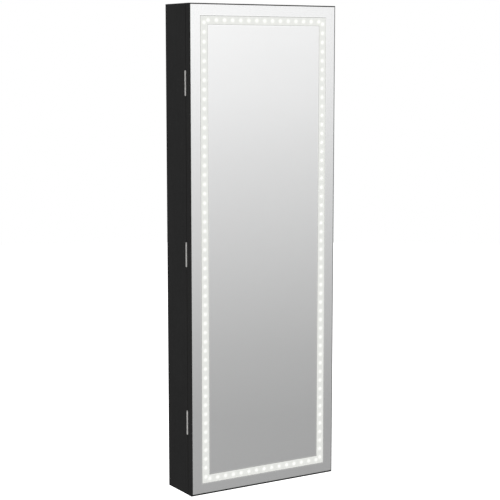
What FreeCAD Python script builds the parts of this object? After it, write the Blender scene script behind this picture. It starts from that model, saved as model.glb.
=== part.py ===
import FreeCAD, Part
import os

os.makedirs("parts", exist_ok=True)

V = FreeCAD.Vector
RIGHT = V(1, 0, 0)
BACK = V(0, 1, 0)
FRONT = V(0, -1, 0)
UP = V(0, 0, 1)

# Outer sizes, in mm
WIDTH = 370.0
HEIGHT = 1060.0
CASE_DEPTH = 87.0
DOOR_GAP = 2.0
FRAME_T = 15.8
BACKING_T = 0.2
GLASS_T = 2.0

# Fits
RUN_FIT = 0.05
SEAT_FIT = 0.1
CLEAR = 0.3

# Case boards
BOARD_T = 12.0
BACK_T = 3.0
BACK_LAP = 6.0
LINING_T = 1.5
EASE = 0.5
RAIL_T = 12.0
RAIL_H = 50.0
WALL_HOLE_R = 2.75
WALL_HOLE_SPREAD = 240.0
DOWEL_R = 3.0
DOWEL_L = 24.0
DOWEL_IN_SIDE = 8.0
DOWEL_DEPTH_SHARES = (0.25, 0.75)

# Countersunk screws
SCREW_HEAD_R = 2.6
SCREW_HEAD_H = 1.2
SCREW_R = 1.4
SCREW_L = 10.0
SHORT_SCREW_L = 6.0
RECESS_L = 2.8
RECESS_W = 0.6
RECESS_H = 0.7
BACK_SCREW_SIDE_SHARES = (-0.42, -0.14, 0.14, 0.42)
BACK_SCREW_END_SHARES = (-0.25, 0.25)

# Shelves and divider
SHELF_T = 9.0
SHELF_D = 55.5
SHELF_DADO = 3.0
SHELF_NOSE = 1.5
SHELF_TOP_SHARES = (0.195, 0.378, 0.557)
DIVIDER_T = 9.0
DIVIDER_X = 12.0
GUARD_R = 2.0
GUARD_RISE = 28.0
GUARD_SET = 5.0
GUARD_SEAT = 6.0

# Necklace rail and hooks
NECK_RAIL_T = 12.0
NECK_RAIL_H = 22.0
NECK_RAIL_DROP = 24.0
HOOK_COUNT = 7
HOOK_R = 1.3
HOOK_BASE_R = 5.5
HOOK_BASE_T = 1.5
HOOK_REACH = 13.0
HOOK_BEND_R = 5.0
HOOK_TIP = 4.0

# Ring cushions
RING_DROP = 6.0
RING_BOARD_H = 156.0
RING_BOARD_T = 4.0
RING_EDGE = 4.0
ROLL_COUNT = 8
ROLL_GAP = 1.1
ROLL_BODY = 6.0

# Earring bars
EAR_LEVEL_SHARES = (0.1215, 0.2835, 0.4455)
EAR_H = 22.0
EAR_T = 3.0
EAR_CORNER = 3.0
EAR_STAND = 26.5
EAR_POST_R = 4.0
EAR_POST_INSET = 14.0
SLIT_COUNT = 14
SLIT_W = 1.6
SLIT_H = 9.0

# Bracelet rod
BRACELET_LEVEL_SHARE = 0.6965
BRACELET_R = 6.0
BRACELET_STAND = 31.0
SOCKET_R = 9.0
SOCKET_T = 7.0
SOCKET_DEPTH = 5.0

# Hinges
HINGE_TOP_INSET = 166.5
HINGE_FOOT_INSET = 162.5
HINGE_OUT = 0.6
LEAF_W = 12.0
LEAF_H = 51.0
LEAF_GAP = 0.2
KNUCKLE_R = 1.8
KNUCKLES = 5
KNUCKLE_GAP = 0.3
PIN_R = 0.9
PIN_HEAD_R = 1.6
PIN_HEAD_T = 0.9
LEAF_HOLE_SHARE = 0.3

# Door frame, mirror and light
BAR_W = 55.0
RIM = 2.5
RIM_BEVEL = 2.0
LED_INSET = 35.0
BAND_W = 18.1
LINE_W = 0.45
GROOVE_D = 6.0
GLASS_EASE = 0.4
PANEL_T = 3.0
PANEL_LAP = 8.0
SPLINE_T = 2.0
SPLINE_NEAR = 6.0
SPLINE_FAR = 42.0
TAPE_W = 10.0
TAPE_T = 0.4
TAPE_SPACE = 0.5
LED_SIDE = 5.0
LED_H = 1.6
LED_LONG_COUNT = 50
LED_SHORT_COUNT = 15
LED_LONG_INSET = 40.0
LED_SHORT_INSET = 45.0

# Battery box on the inside of the door
BOX_RISE = 35.0
BOX_WALL = 3.0
BOX_FLOOR = 1.6
BOX_LIP = 1.1
BOX_SLOT = 1.6
BOX_BACK_CLEAR = 1.0
BOX_CORNER = 2.0
FLANGE_W = 6.0
FLANGE_T = 1.5
FLANGE_CORNER = 5.0
CELL_COUNT = 4
CELL_R = 7.25
CELL_L = 49.5
CELL_NUB_R = 2.7
CELL_NUB_L = 1.0
CELL_SPACE = 0.5
CONTACT_T = 0.5
CONTACT_W = 9.0
SPRING_L = 2.5
SPRING_FOOT_R = 3.2
SPRING_TIP_R = 2.0
COVER_T = 1.5
COVER_CORNER = 1.0
RIB_COUNT = 4
RIB_L = 22.0
RIB_W = 1.2
RIB_H = 0.6
RIB_PITCH = 3.0
LEAD_R = 0.6
LEAD_PITCH = 3.0
NOTCH_W = 7.0

# Push switch beside the cells
BUTTON_R = 6.0
BUTTON_FLANGE_R = 7.2
BUTTON_FLANGE_T = 1.2
BUTTON_PROUD = 2.6
BUTTON_TRAVEL = 1.5
BUTTON_PLATE = 1.6
SWITCH_W = 13.0
SWITCH_D = 7.0

# Magnetic catches and bumpers
CATCH_LEVEL_SHARES = (0.28, -0.24)
CATCH_W = 13.0
CATCH_H = 44.0
CATCH_D = 14.0
CATCH_SET = 1.0
CATCH_CORNER = 2.5
MAGNET_W = 8.0
MAGNET_H = 30.0
MAGNET_D = 10.0
STRIKE_T = 1.0
STRIKE_CORNER = 3.0
STRIKE_W = 12.0
STRIKE_H = 40.0
STRIKE_SCREW_SHARE = 0.35
BUMPER_R = 4.0
BUMPER_TIP_R = 3.2
BUMPER_AIR = 0.4
BUMPER_SHARES = (-0.46, -0.15, 0.15, 0.46)

# Cam lock in the right side
LOCK_Y = -64.0
LOCK_Z = 0.0
LOCK_R = 8.0
LOCK_FLANGE_R = 10.5
LOCK_FLANGE_T = 2.5
LOCK_HOLE_FIT = 0.2
LOCK_TAIL = 2.0
NUT_FLATS = 22.0
NUT_T = 4.0
PLUG_R = 5.5
PLUG_SINK = 0.4
PLUG_TANG = 5.0
KEY_W = 1.8
KEY_H = 7.0
KEY_D = 9.0
CAM_W = 12.0
CAM_L = 20.0
CAM_T = 2.0
CAM_AIR = 0.4
CAM_SCREW_R = 1.5
CAM_HEAD_R = 4.2
CAM_HEAD_T = 2.0
KEEPER_T = 2.0
KEEPER_AIR = 4.0
KEEPER_BEHIND = 2.5
KEEPER_H = 11.0
KEEPER_FOOT = 20.0
KEEPER_FOOT_H = 26.0
KEEPER_CORNER = 3.0
KEEPER_SIDE_AIR = 3.0

# Planes that the pieces share
X0 = -WIDTH / 2
X1 = WIDTH / 2
Z0 = -HEIGHT / 2
Z1 = HEIGHT / 2
IN_X0 = X0 + BOARD_T
IN_X1 = X1 - BOARD_T
IN_Z0 = Z0 + BOARD_T
IN_Z1 = Z1 - BOARD_T
Y_BACK = -BACK_T
Y_LINING = Y_BACK - LINING_T
Y_SHELF = Y_LINING - SHELF_D
Y_CASE = -CASE_DEPTH
Y_PIN = Y_CASE - DOOR_GAP / 2
Y_DOOR = Y_CASE - DOOR_GAP
Y_RIM = Y_DOOR - FRAME_T
Y_SILVER = Y_RIM - BACKING_T
Y_GLASS = Y_SILVER - GLASS_T
Y_GROOVE = Y_RIM + GROOVE_D
X_PIN = X0 - HINGE_OUT
RAIL_LOW = IN_Z1 - RAIL_H
BAY_X0 = DIVIDER_X + DIVIDER_T / 2
RING_TOP = RAIL_LOW - RING_DROP
RING_LOW = RING_TOP - RING_BOARD_H
SHELF_TOPS = [IN_Z0 + share * (IN_Z1 - IN_Z0) for share in SHELF_TOP_SHARES]
BAY_H = RING_LOW - SHELF_TOPS[-1]
EAR_Z = [RING_LOW - share * BAY_H for share in EAR_LEVEL_SHARES]
BRACELET_Z = RING_LOW - BRACELET_LEVEL_SHARE * BAY_H
HINGE_Z = {"upper": Z1 - HINGE_TOP_INSET, "middle": 0, "lower": Z0 + HINGE_FOOT_INSET}
CATCH_Z = [share * HEIGHT for share in CATCH_LEVEL_SHARES]
BARREL_END = IN_X1 - NUT_T - LOCK_TAIL
CAM_X1 = BARREL_END - CAM_AIR
CAM_X0 = CAM_X1 - CAM_T


# Basic shapes
def box(x0, x1, y0, y1, z0, z1):
    return Part.makeBox(x1 - x0, y1 - y0, z1 - z0, V(x0, y0, z0))


def rod(start, way, radius, length):
    return Part.makeCylinder(radius, length, start, way)


def one(shape):
    return shape.Solids[0] if len(shape.Solids) == 1 else shape


def join(shapes):
    return one(shapes[0].fuse(shapes[1:]).removeSplitter())


def less(shape, tools):
    return one(shape.cut(tools))


def group(shapes):
    return Part.makeCompound(shapes)


def ease(shape, amount, chosen):
    return shape.makeChamfer(amount, [e for e in shape.Edges if chosen(e.BoundBox)])


def rounded(x0, x1, y0, y1, z0, z1, radius):
    """A block with round corners, seen from the front."""
    blank = box(x0, x1, y0, y1, z0, z1)
    upright = [e for e in blank.Edges if e.BoundBox.XLength + e.BoundBox.ZLength < SEAT_FIT]
    return blank.makeFillet(radius, upright)


def ring(near, far, y0, y1):
    """A rectangular ring in the plane of the door, between two distances from its edges."""
    outer = box(X0 + near, X1 - near, y0, y1, Z0 + near, Z1 - near)
    return outer.cut(inset(far, y0, y1))


def inset(edge, y0, y1):
    return box(X0 + edge, X1 - edge, y0, y1, Z0 + edge, Z1 - edge)


def spaced(start, end, count):
    return [start + (end - start) * i / (count - 1) for i in range(count)]


# Screws: the head's face is at the point, and the shank runs along the way
def screw_body(point, way, length, fit):
    head = Part.makeCone(SCREW_HEAD_R + fit, SCREW_R + fit, SCREW_HEAD_H, point, way)
    return join([head, rod(point, way, SCREW_R + fit, length + fit)])


def cross_recess(point, way):
    slots = []
    for wide, tall in ((RECESS_L, RECESS_W), (RECESS_W, RECESS_L)):
        slot = Part.makeBox(wide, tall, RECESS_H, V(-wide / 2, -tall / 2, 0))
        slot.Placement = FreeCAD.Placement(point, FreeCAD.Rotation(UP, way))
        slots.append(slot)
    return slots


def screw(point, way, length):
    return less(screw_body(point, way, length, 0), cross_recess(point, way))


def screw_hole(point, way, length):
    return screw_body(point, way, length, SEAT_FIT)


# Places of the fasteners
def dowel_starts():
    reach = DOWEL_L - DOWEL_IN_SIDE
    points = []
    for share in DOWEL_DEPTH_SHARES:
        for z in (Z0 + BOARD_T / 2, Z1 - BOARD_T / 2):
            points.append(V(IN_X0 - DOWEL_IN_SIDE, share * Y_CASE, z))
            points.append(V(IN_X1 - reach, share * Y_CASE, z))
    return points


def dowels():
    return [rod(p, RIGHT, DOWEL_R, DOWEL_L) for p in dowel_starts()]


def dowel_holes():
    end = V(SEAT_FIT, 0, 0)
    return [rod(p - end, RIGHT, DOWEL_R + SEAT_FIT, DOWEL_L + 2 * SEAT_FIT) for p in dowel_starts()]


def back_screw_points():
    side_x = IN_X1 + BACK_LAP / 2
    end_z = IN_Z1 + BACK_LAP / 2
    points = [V(s * side_x, -SEAT_FIT, f * HEIGHT) for s in (-1, 1) for f in BACK_SCREW_SIDE_SHARES]
    points += [V(f * WIDTH, -SEAT_FIT, s * end_z) for s in (-1, 1) for f in BACK_SCREW_END_SHARES]
    return points


def back_screw_holes():
    sink = V(0, SEAT_FIT, 0)
    holes = [screw_hole(p, FRONT, SCREW_L) for p in back_screw_points()]
    return holes + [rod(p + sink, FRONT, SCREW_HEAD_R + SEAT_FIT, SEAT_FIT) for p in back_screw_points()]


def hinge_screw_points(y):
    x = X0 + BOARD_T / 2
    rise = LEAF_HOLE_SHARE * LEAF_H
    return [V(x, y, z + s * rise) for z in HINGE_Z.values() for s in (-1, 1)]


def wall_holes(y0, y1):
    x = WALL_HOLE_SPREAD / 2
    z = IN_Z1 - RAIL_H / 2
    starts = [V(a * x, y0, b * z) for a in (-1, 1) for b in (-1, 1)]
    return [rod(p, BACK, WALL_HOLE_R, y1 - y0) for p in starts]


# Case
def back_blank():
    lap = BOARD_T - BACK_LAP
    return box(X0 + lap, X1 - lap, Y_BACK, 0, Z0 + lap, Z1 - lap)


def case_back():
    return less(back_blank(), wall_holes(Y_BACK, 0) + back_screw_holes())


def hanging_rail(z):
    y = Y_BACK - RAIL_T
    return less(box(IN_X0, IN_X1, y, Y_BACK, z, z + RAIL_H), wall_holes(y, Y_BACK))


def lining_board():
    return box(IN_X0, IN_X1, Y_LINING, Y_BACK, IN_Z0 + RAIL_H, RAIL_LOW)


def shelf(top):
    board = box(IN_X0 - SHELF_DADO, IN_X1 + SHELF_DADO, Y_SHELF, Y_LINING, top - SHELF_T, top)
    nose = [e for e in board.Edges if e.BoundBox.YMax - Y_SHELF + e.BoundBox.ZLength < SEAT_FIT]
    return board.makeFillet(SHELF_NOSE, nose)


def guard_points():
    y = Y_SHELF + GUARD_SET
    levels = [IN_Z0] + SHELF_TOPS[:-1]
    return [V(IN_X0 - GUARD_SEAT, y, z + GUARD_RISE) for z in levels]


def guard_rods():
    length = IN_X1 - IN_X0 + 2 * GUARD_SEAT
    return [rod(p, RIGHT, GUARD_R, length) for p in guard_points()]


def guard_holes():
    length = IN_X1 - IN_X0 + 2 * (GUARD_SEAT + SEAT_FIT)
    end = V(SEAT_FIT, 0, 0)
    return [rod(p - end, RIGHT, GUARD_R + SEAT_FIT, length) for p in guard_points()]


def side_panel(x0, x1, outer, extra):
    blank = box(x0, x1, Y_CASE, 0, Z0, Z1)
    blank = ease(blank, EASE, lambda b: abs(b.XMin - outer) + abs(b.XMax - outer) < SEAT_FIT)
    tools = [back_blank()] + [shelf(top) for top in SHELF_TOPS]
    tools += dowel_holes() + guard_holes() + back_screw_holes() + extra
    return less(blank, tools)


def case_side_left():
    reliefs = [hinge_relief(z) for z in HINGE_Z.values()]
    pilots = [screw_hole(p, BACK, SCREW_L) for p in hinge_screw_points(leaf_face(False))]
    return side_panel(X0, IN_X0, X0, reliefs + pilots)


def case_side_right():
    bore = rod(V(IN_X1, LOCK_Y, LOCK_Z), RIGHT, LOCK_R + LOCK_HOLE_FIT, BOARD_T)
    return side_panel(IN_X1, X1, X1, [bore])


def end_board(z):
    blank = box(IN_X0, IN_X1, Y_CASE, 0, z, z + BOARD_T)
    return less(blank, [back_blank()] + dowel_holes() + back_screw_holes())


def bay_divider():
    half = DIVIDER_T / 2
    blank = box(DIVIDER_X - half, DIVIDER_X + half, Y_SHELF, Y_LINING, SHELF_TOPS[-1], IN_Z1)
    return less(blank, [hanging_rail(RAIL_LOW)])


# Jewelry fittings
def neck_rail_z():
    return RAIL_LOW - NECK_RAIL_DROP


def necklace_rail():
    half = NECK_RAIL_H / 2
    z = neck_rail_z()
    end = DIVIDER_X - DIVIDER_T / 2
    return box(IN_X0, end, Y_LINING - NECK_RAIL_T, Y_LINING, z - half, z + half)


def hook(x):
    y = Y_LINING - NECK_RAIL_T
    foot = V(x, y, neck_rail_z())
    bend = foot + V(0, -HOOK_REACH, 0)
    face = Part.Face(Part.Wire(Part.Circle(bend, FRONT, HOOK_R).toShape()))
    curve = face.revolve(bend + V(0, 0, HOOK_BEND_R), RIGHT, -90)
    top = bend + V(0, -HOOK_BEND_R, HOOK_BEND_R)
    pieces = [rod(foot, FRONT, HOOK_BASE_R, HOOK_BASE_T), rod(foot, FRONT, HOOK_R, HOOK_REACH), curve]
    pieces += [rod(top, UP, HOOK_R, HOOK_TIP), Part.makeSphere(HOOK_R, top + V(0, 0, HOOK_TIP))]
    return join(pieces)


def necklace_hooks():
    width = DIVIDER_X - DIVIDER_T / 2 - IN_X0
    step = width / HOOK_COUNT
    return group([hook(IN_X0 + step / 2 + i * step) for i in range(HOOK_COUNT)])


def ring_board():
    y = Y_LINING - RING_BOARD_T
    return box(BAY_X0 + RING_EDGE, IN_X1 - RING_EDGE, y, Y_LINING, RING_LOW, RING_TOP)


def ring_roll(z, radius):
    x0 = BAY_X0 + RING_EDGE
    x1 = IN_X1 - RING_EDGE
    y = Y_LINING - RING_BOARD_T
    front = y - ROLL_BODY
    nose = rod(V(x0, front, z), RIGHT, radius, x1 - x0)
    nose = nose.common(box(x0, x1, front - radius, front, z - radius, z + radius))
    return join([box(x0, x1, front, y, z - radius, z + radius), nose])


def ring_rolls():
    pitch = RING_BOARD_H / ROLL_COUNT
    radius = (pitch - ROLL_GAP) / 2
    return group([ring_roll(RING_LOW + pitch / 2 + i * pitch, radius) for i in range(ROLL_COUNT)])


def earring_bar(z):
    x0 = BAY_X0 + RING_EDGE
    x1 = IN_X1 - RING_EDGE
    y = Y_LINING - EAR_STAND
    top = z + EAR_H / 2
    bar = rounded(x0, x1, y - EAR_T, y, z - EAR_H / 2, top, EAR_CORNER)
    step = (x1 - x0) / SLIT_COUNT
    cuts = []
    for i in range(SLIT_COUNT):
        x = x0 + step / 2 + i * step
        cuts.append(box(x - SLIT_W / 2, x + SLIT_W / 2, y - EAR_T, y, top - SLIT_H, top))
    return less(bar, cuts)


def earring_posts():
    near = RING_EDGE + EAR_POST_INSET
    z_drop = SLIT_H / 2
    xs = (BAY_X0 + near, IN_X1 - near)
    return group([rod(V(x, Y_LINING, z - z_drop), FRONT, EAR_POST_R, EAR_STAND) for x in xs for z in EAR_Z])


def bracelet_rod():
    wall = SOCKET_T - SOCKET_DEPTH
    x0 = BAY_X0 + wall
    return rod(V(x0, Y_LINING - BRACELET_STAND, BRACELET_Z), RIGHT, BRACELET_R, IN_X1 - wall - x0)


def bracelet_sockets():
    y = Y_LINING - BRACELET_STAND
    start = V(BAY_X0, y, BRACELET_Z)
    end = V(IN_X1 - SOCKET_T, y, BRACELET_Z)
    bore_start = V(BAY_X0 + SOCKET_T - SOCKET_DEPTH, y, BRACELET_Z)
    bore = rod(bore_start, RIGHT, BRACELET_R + SEAT_FIT, IN_X1 - SOCKET_T + SOCKET_DEPTH - bore_start.x)
    return group([less(rod(p, RIGHT, SOCKET_R, SOCKET_T), [bore]) for p in (start, end)])


# Hinges
def leaf_face(door):
    """The height of a leaf's outer face, where its screw heads lie flush."""
    return Y_PIN - LEAF_GAP / 2 if door else Y_PIN + LEAF_GAP / 2


def hinge_relief(z):
    reach = LEAF_H / 2 + PIN_HEAD_T + CLEAR
    return rod(V(X_PIN, Y_PIN, z - reach), UP, KNUCKLE_R + CLEAR, 2 * reach)


def hinge_leaf(z, door):
    low = z - LEAF_H / 2
    y0, y1 = (Y_DOOR, leaf_face(True)) if door else (leaf_face(False), Y_CASE)
    plate = box(X_PIN, X_PIN + LEAF_W, y0, y1, low, low + LEAF_H)
    length = (LEAF_H - (KNUCKLES - 1) * KNUCKLE_GAP) / KNUCKLES
    own, others = [plate], []
    for i in range(KNUCKLES):
        start = V(X_PIN, Y_PIN, low + i * (length + KNUCKLE_GAP))
        if (i % 2 == 1) == door:
            own.append(rod(start, UP, KNUCKLE_R, length))
        else:
            under = start - V(0, 0, KNUCKLE_GAP)
            others.append(rod(under, UP, KNUCKLE_R + CLEAR, length + 2 * KNUCKLE_GAP))
    others.append(rod(V(X_PIN, Y_PIN, low), UP, PIN_R + RUN_FIT, LEAF_H))
    way = FRONT if door else BACK
    others += [screw_hole(p, way, SCREW_L) for p in hinge_screw_points(leaf_face(door))]
    return less(join(own), others)


def hinge_pin(z):
    half = LEAF_H / 2
    pin = rod(V(X_PIN, Y_PIN, z - half), UP, PIN_R, LEAF_H)
    heads = [rod(V(X_PIN, Y_PIN, z + half), UP, PIN_HEAD_R, PIN_HEAD_T)]
    heads.append(rod(V(X_PIN, Y_PIN, z - half - PIN_HEAD_T), UP, PIN_HEAD_R, PIN_HEAD_T))
    return join([pin] + heads)


def hinge_screws(door):
    way = FRONT if door else BACK
    return [screw(p, way, SCREW_L) for p in hinge_screw_points(leaf_face(door))]


# Door frame
def frame_ring():
    blank = inset(0, Y_RIM, Y_DOOR)
    blank = ease(blank, RIM_BEVEL, lambda b: abs(b.YMin - Y_RIM) + abs(b.YMax - Y_RIM) < SEAT_FIT)
    near = LED_INSET - BAND_W / 2 - LINE_W
    groove = ring(near, near + BAND_W + 2 * LINE_W, Y_RIM, Y_GROOVE)
    rebate = inset(BAR_W - PANEL_LAP, Y_DOOR - PANEL_T, Y_DOOR)
    return less(blank, [inset(BAR_W, Y_RIM, Y_DOOR), groove, rebate] + spline_slots())


def bar_space(side):
    """The mitred length of frame that one bar takes up."""
    flip_x, flip_z, upright = side
    corners = [(-WIDTH / 2, HEIGHT / 2), (-WIDTH / 2 + BAR_W, HEIGHT / 2 - BAR_W)]
    corners += [(-WIDTH / 2 + BAR_W, BAR_W - HEIGHT / 2), (-WIDTH / 2, -HEIGHT / 2)]
    if not upright:
        corners = [(-WIDTH / 2, HEIGHT / 2), (WIDTH / 2, HEIGHT / 2)]
        corners += [(WIDTH / 2 - BAR_W, HEIGHT / 2 - BAR_W), (BAR_W - WIDTH / 2, HEIGHT / 2 - BAR_W)]
    points = [V(flip_x * x, Y_RIM, flip_z * z) for x, z in corners]
    face = Part.Face(Part.makePolygon(points + points[:1]))
    return face.extrude(V(0, Y_DOOR - Y_RIM, 0))


def frame_bar(side, tools):
    bar = one(frame_ring().common(bar_space(side)))
    return less(bar, tools) if tools else bar


def door_stile_hinge():
    reliefs = [hinge_relief(z) for z in HINGE_Z.values()]
    pilots = [screw_hole(p, FRONT, SCREW_L) for p in hinge_screw_points(leaf_face(True))]
    return frame_bar((1, 1, True), reliefs + pilots)


def door_stile_lock():
    return frame_bar((-1, 1, True), [screw_hole(p, FRONT, SHORT_SCREW_L) for p in fitting_points()])


def door_rail_bottom():
    inner = LED_INSET + BAND_W / 2
    notch = box(-NOTCH_W / 2, NOTCH_W / 2, Y_RIM, Y_GROOVE, Z0 + inner, Z0 + BAR_W)
    return frame_bar((1, -1, False), [notch])


def spline_plates(fit):
    middle = (Y_GROOVE + Y_DOOR) / 2
    half = SPLINE_T / 2 + fit
    near = SPLINE_NEAR - fit
    far = SPLINE_FAR + fit
    plates = []
    for x0, x1 in ((X0 + near, X0 + far), (X1 - far, X1 - near)):
        for z0, z1 in ((Z0 + near, Z0 + far), (Z1 - far, Z1 - near)):
            plates.append(box(x0, x1, middle - half, middle + half, z0, z1))
    return plates


def spline_slots():
    return spline_plates(SEAT_FIT)


def door_inner_panel():
    blank = inset(BAR_W - PANEL_LAP, Y_DOOR - PANEL_T, Y_DOOR)
    x0, x1, z0, z1 = box_outline()
    y = Y_DOOR - PANEL_T
    hole = rounded(x0 - CLEAR, x1 + CLEAR, y, Y_DOOR, z0 - CLEAR, z1 + CLEAR, BOX_CORNER + CLEAR)
    return less(blank, [hole] + [screw_hole(p, FRONT, SHORT_SCREW_L) for p in flange_points()])


# Mirror and light
def mirror_glass():
    pane = inset(RIM, Y_GLASS, Y_SILVER)
    return ease(pane, GLASS_EASE, lambda b: abs(b.YMin - Y_GLASS) + abs(b.YMax - Y_GLASS) < SEAT_FIT)


def mirror_silvering():
    near = LED_INSET - BAND_W / 2 - LINE_W
    far = LED_INSET + BAND_W / 2 + LINE_W
    return group([one(ring(RIM, near, Y_SILVER, Y_RIM)), inset(far, Y_SILVER, Y_RIM)])


def frosted_band():
    near = LED_INSET - BAND_W / 2
    return one(ring(near, near + BAND_W, Y_SILVER, Y_RIM))


def led_tape():
    near = LED_INSET - TAPE_W / 2
    far = LED_INSET + TAPE_W / 2
    y = Y_GROOVE - TAPE_T
    strips = [box(x, x + TAPE_W, y, Y_GROOVE, Z0 + near, Z1 - near) for x in (X0 + near, X1 - far)]
    side = far + TAPE_SPACE
    for z in (Z0 + near, Z1 - far):
        strips.append(box(X0 + side, X1 - side, y, Y_GROOVE, z, z + TAPE_W))
    return group(strips)


def led_places():
    columns = (X0 + LED_INSET, X1 - LED_INSET)
    rows = (Z0 + LED_INSET, Z1 - LED_INSET)
    levels = spaced(Z0 + LED_LONG_INSET, Z1 - LED_LONG_INSET, LED_LONG_COUNT)
    across = spaced(X0 + LED_SHORT_INSET, X1 - LED_SHORT_INSET, LED_SHORT_COUNT)
    return [(x, z) for x in columns for z in levels] + [(x, z) for z in rows for x in across]


def led_chips():
    y = Y_GROOVE - TAPE_T
    half = LED_SIDE / 2
    return group([box(x - half, x + half, y - LED_H, y, z - half, z + half) for x, z in led_places()])


def led_leads():
    y = Y_GROOVE - TAPE_T - LEAD_R
    low = Z0 + LED_INSET + LED_SIDE / 2 + CLEAR
    starts = [V(s * LEAD_PITCH / 2, y, low) for s in (-1, 1)]
    return group([rod(p, UP, LEAD_R, box_outline()[2] - low) for p in starts])


# Battery box
def cell_pitch():
    return 2 * CELL_R + CELL_SPACE


def cell_room():
    """The room for the cells: left, right, bottom and top."""
    half = CELL_COUNT * cell_pitch() / 2
    low = Z0 + BAR_W + BOX_RISE + BOX_WALL
    return -half, half, low, low + CELL_L + CELL_NUB_L + 2 * (CONTACT_T + SPRING_L)


def switch_room():
    side = BUTTON_FLANGE_R + CLEAR + SEAT_FIT
    low = cell_room()[3] + BOX_WALL
    return -side, side, low, low + 2 * side


def box_outline():
    x0, x1, z0, _ = cell_room()
    return x0 - BOX_WALL, x1 + BOX_WALL, z0 - BOX_WALL, switch_room()[3] + BOX_WALL


def box_heights():
    """Across the box: its floor, the floor of the cells, the cover's slot and the lip."""
    y0 = Y_RIM + BOX_BACK_CLEAR
    y1 = y0 + BOX_FLOOR
    y2 = y1 + 2 * CELL_R + CELL_SPACE
    y3 = y2 + COVER_T + 2 * CLEAR
    return y0, y1, y2, y3, y3 + BOX_LIP


def battery_box():
    x0, x1, z0, z1 = box_outline()
    cx0, cx1, cz0, cz1 = cell_room()
    sx0, sx1, sz0, sz1 = switch_room()
    y0, y1, y2, y3, y4 = box_heights()
    body = rounded(x0, x1, y0, y4, z0, z1, BOX_CORNER)
    edge = FLANGE_W
    top = Y_DOOR + FLANGE_T
    flange = rounded(x0 - edge, x1 + edge, Y_DOOR, top, z0 - edge, z1 + edge, FLANGE_CORNER)
    tools = [box(cx0, cx1, y1, y4, cz0, cz1), box(cx0, cx1, y2, y4, z0, cz1)]
    tools.append(box(cx0 - BOX_SLOT, cx1 + BOX_SLOT, y2, y3, z0, cz1))
    tools.append(box(sx0, sx1, y0, y4 - BUTTON_PLATE, sz0, sz1))
    tools.append(rod(V(0, y0, (sz0 + sz1) / 2), BACK, BUTTON_R + CLEAR, y4 - y0))
    tools += [screw_hole(p, FRONT, SHORT_SCREW_L) for p in flange_points()]
    return less(join([body, flange]), tools)


def flange_points():
    x0, x1, z0, z1 = box_outline()
    half = FLANGE_W / 2
    xs = (x0 - half, x1 + half)
    zs = (z0 + FLANGE_W, z1 - FLANGE_W)
    return [V(x, Y_DOOR + FLANGE_T, z) for x in xs for z in zs]


def cell_columns():
    x0 = cell_room()[0]
    return [x0 + cell_pitch() * (i + 1 / 2) for i in range(CELL_COUNT)]


def cell(x, turned):
    _, _, z0, z1 = cell_room()
    y = box_heights()[1] + CELL_R + CELL_SPACE / 2
    start = V(x, y, z1 - CONTACT_T - SPRING_L if turned else z0 + CONTACT_T + SPRING_L)
    way = V(0, 0, -1) if turned else UP
    body = rod(start, way, CELL_R, CELL_L)
    return join([body, rod(start + way * CELL_L, way, CELL_NUB_R, CELL_NUB_L)])


def battery_cells():
    return group([cell(x, i % 2 == 1) for i, x in enumerate(cell_columns())])


def contact(x, z, way):
    y = box_heights()[1] + CELL_R + CELL_SPACE / 2
    half = CONTACT_W / 2
    z0, z1 = sorted((z, z + way.z * CONTACT_T))
    plate = box(x - half, x + half, y - half, y + half, z0, z1)
    spring = Part.makeCone(SPRING_FOOT_R, SPRING_TIP_R, SPRING_L, V(x, y, z + way.z * CONTACT_T), way)
    return join([plate, spring])


def battery_contacts():
    _, _, z0, z1 = cell_room()
    low = [contact(x, z0, UP) for x in cell_columns()]
    return group(low + [contact(x, z1, V(0, 0, -1)) for x in cell_columns()])


def battery_cover():
    cx0, cx1, _, cz1 = cell_room()
    y = box_heights()[2] + CLEAR
    side = BOX_SLOT - CLEAR
    z0 = box_outline()[2]
    plate = rounded(cx0 - side, cx1 + side, y, y + COVER_T, z0, cz1 - CLEAR, COVER_CORNER)
    ribs = []
    for i in range(RIB_COUNT):
        z = z0 + (i + 2) * RIB_PITCH
        top = y + COVER_T + RIB_H
        ribs.append(box(-RIB_L / 2, RIB_L / 2, y + COVER_T, top, z, z + RIB_W))
    return join([plate] + ribs)


# Push switch
def switch_button():
    _, _, z0, z1 = switch_room()
    top = box_heights()[4]
    under = top - BUTTON_PLATE - CLEAR
    foot = V(0, under - BUTTON_FLANGE_T, (z0 + z1) / 2)
    cap = rod(foot, BACK, BUTTON_R, top + BUTTON_PROUD - foot.y)
    cap = ease(cap, EASE, lambda b: abs(b.YMin - b.YMax) < SEAT_FIT and b.YMax > top)
    return join([cap, rod(foot, BACK, BUTTON_FLANGE_R, BUTTON_FLANGE_T)])


def switch_body():
    _, _, z0, z1 = switch_room()
    y = box_heights()[4] - BUTTON_PLATE - CLEAR - BUTTON_FLANGE_T - BUTTON_TRAVEL - CLEAR
    return box(-SWITCH_W / 2, SWITCH_W / 2, y - SWITCH_D, y, z0, z1)


# Magnetic catches
def catch_x():
    return IN_X1 - CATCH_W / 2


def catch_housing(z):
    y = Y_CASE + CATCH_SET
    half = CATCH_H / 2
    shell = box(IN_X1 - CATCH_W, IN_X1, y, y + CATCH_D, z - half, z + half)
    inner = shell.BoundBox.XMin + SEAT_FIT
    soft = [e for e in shell.Edges if e.BoundBox.XMax < inner]
    return less(shell.makeFillet(CATCH_CORNER, soft), [catch_magnet(z)])


def catch_magnet(z):
    y0 = Y_DOOR + STRIKE_T + CLEAR
    x = catch_x()
    half = MAGNET_H / 2
    return box(x - MAGNET_W / 2, x + MAGNET_W / 2, y0, y0 + MAGNET_D, z - half, z + half)


def catch_strike_points():
    rise = STRIKE_SCREW_SHARE * STRIKE_H
    return [V(catch_x(), Y_DOOR + STRIKE_T, z + s * rise) for z in CATCH_Z for s in (-1, 1)]


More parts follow.
